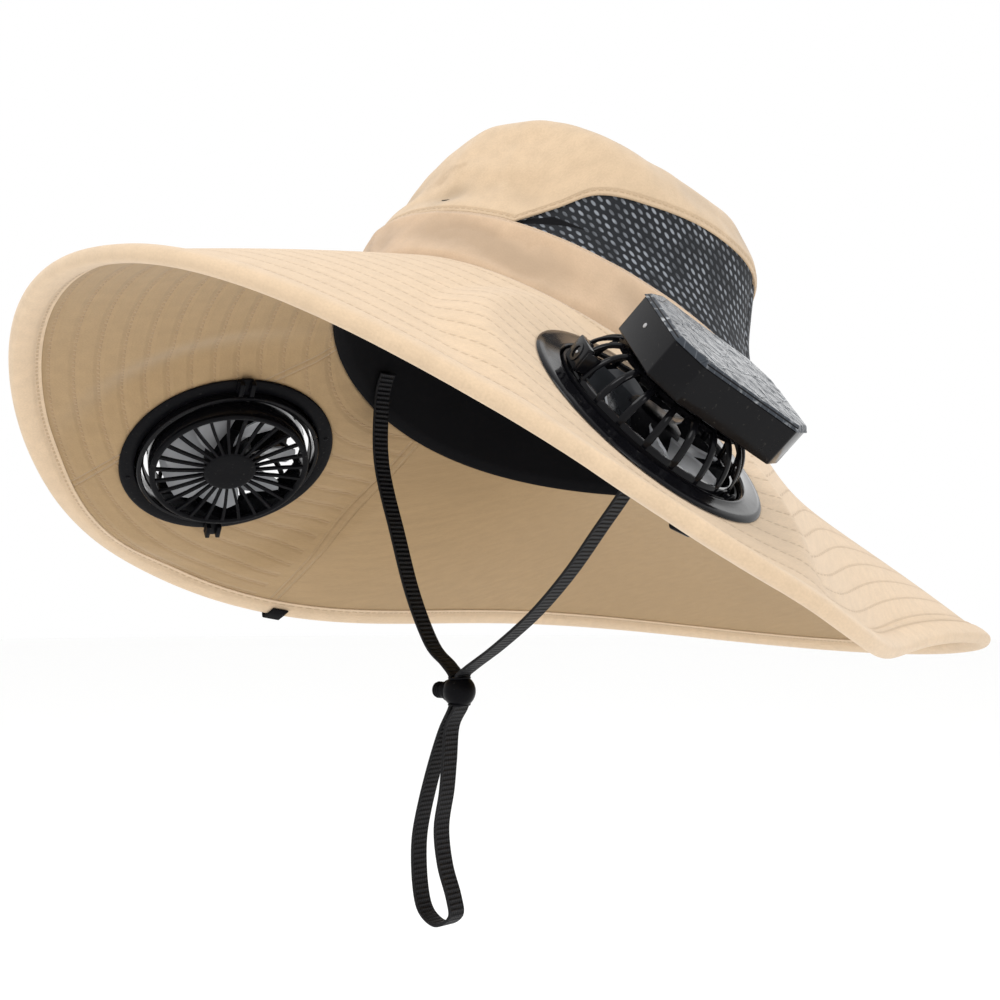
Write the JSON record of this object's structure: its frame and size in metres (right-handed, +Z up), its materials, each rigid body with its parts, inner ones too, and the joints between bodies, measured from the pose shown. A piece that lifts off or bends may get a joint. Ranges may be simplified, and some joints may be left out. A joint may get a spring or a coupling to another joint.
{
  "type": "solar fan hat",
  "caption": "Wide-brimmed cloth sun hat, tipped back as worn, with a tilting solar fan in each side of the brim, mesh vents and a chin strap with a toggle.",
  "frame": {"origin": "centre of the head opening, where the hat sits on a head", "axes": "+X to the wearer's left, -Y to the front, +Z up; the hat is tipped back about X and its strap hangs plumb"},
  "size_m": [0.3885, 0.4727, 0.3352],
  "materials": {
    "sand_cloth": "soft matte woven cloth, lightly wrinkled",
    "black_mesh": "open black mesh",
    "black_cloth": "matte black cloth",
    "black_webbing": "ribbed flat webbing",
    "glossy_black": "polished black plastic",
    "matte_black": "satin black plastic",
    "solar_film": "dark cell under a clear glossy film"
  },
  "bodies": {
    "hat": {"brim": "sand_cloth", "chin_strap": "black_webbing", "crown_band": "sand_cloth", "crown_top": "sand_cloth", "fan_clip_inner_left": "matte_black", "fan_clip_inner_right": "matte_black", "fan_clip_outer_left": "matte_black", "fan_clip_outer_right": "matte_black", "fan_flange_left": "glossy_black", "fan_flange_right": "glossy_black", "fan_pivot_inner_left": "matte_black", "fan_pivot_inner_right": "matte_black", "fan_pivot_outer_left": "matte_black", "fan_pivot_outer_right": "matte_black", "fan_under_ring_left": "matte_black", "fan_under_ring_right": "matte_black", "mesh_vent_left": "black_mesh", "mesh_vent_right": "black_mesh", "rim_binding": "sand_cloth", "rim_tab": "black_cloth", "sweatband": "black_cloth", "toggle_body": "matte_black"},
    "left_fan": {"fan_cage_left": "glossy_black", "fan_grille_left": "matte_black", "solar_box_left": "glossy_black", "solar_cell_left": "solar_film", "charge_port_left": "glossy_black"},
    "left_rotor": {"fan_rotor_left": "matte_black"},
    "right_fan": {"fan_cage_right": "glossy_black", "fan_grille_right": "matte_black", "solar_box_right": "glossy_black", "solar_cell_right": "solar_film", "charge_port_right": "glossy_black"},
    "right_rotor": {"fan_rotor_right": "matte_black"},
    "button": {"toggle_button": "matte_black"}
  },
  "joints": [
    {"name": "left_fan_tilt", "type": "hinge", "parent": "hat", "child": "left_fan", "pos_m": [0.12319, -0.07725, -0.02334], "axis": [0.6548, 0.2873, -0.6991], "range_deg": [-12, 6]},
    {"name": "right_fan_tilt", "type": "hinge", "parent": "hat", "child": "right_fan", "pos_m": [-0.12773, -0.07809, -0.02001], "axis": [-0.707, 0.2873, -0.6463], "range_deg": [-6, 12]},
    {"name": "left_rotor_spin", "type": "hinge", "parent": "left_fan", "child": "left_rotor", "pos_m": [0.12319, -0.07725, -0.02334], "axis": [0.6652, 0.2202, 0.7135], "continuous": true},
    {"name": "right_rotor_spin", "type": "hinge", "parent": "right_fan", "child": "right_rotor", "pos_m": [-0.12773, -0.07809, -0.02001], "axis": [-0.5985, 0.2437, 0.7631], "continuous": true},
    {"name": "toggle_press", "type": "slide", "parent": "hat", "child": "button", "axis": [0.9975, 0.07, 0], "range_m": [0, 0.0016], "stiffness_N_per_m": 500}
  ]
}
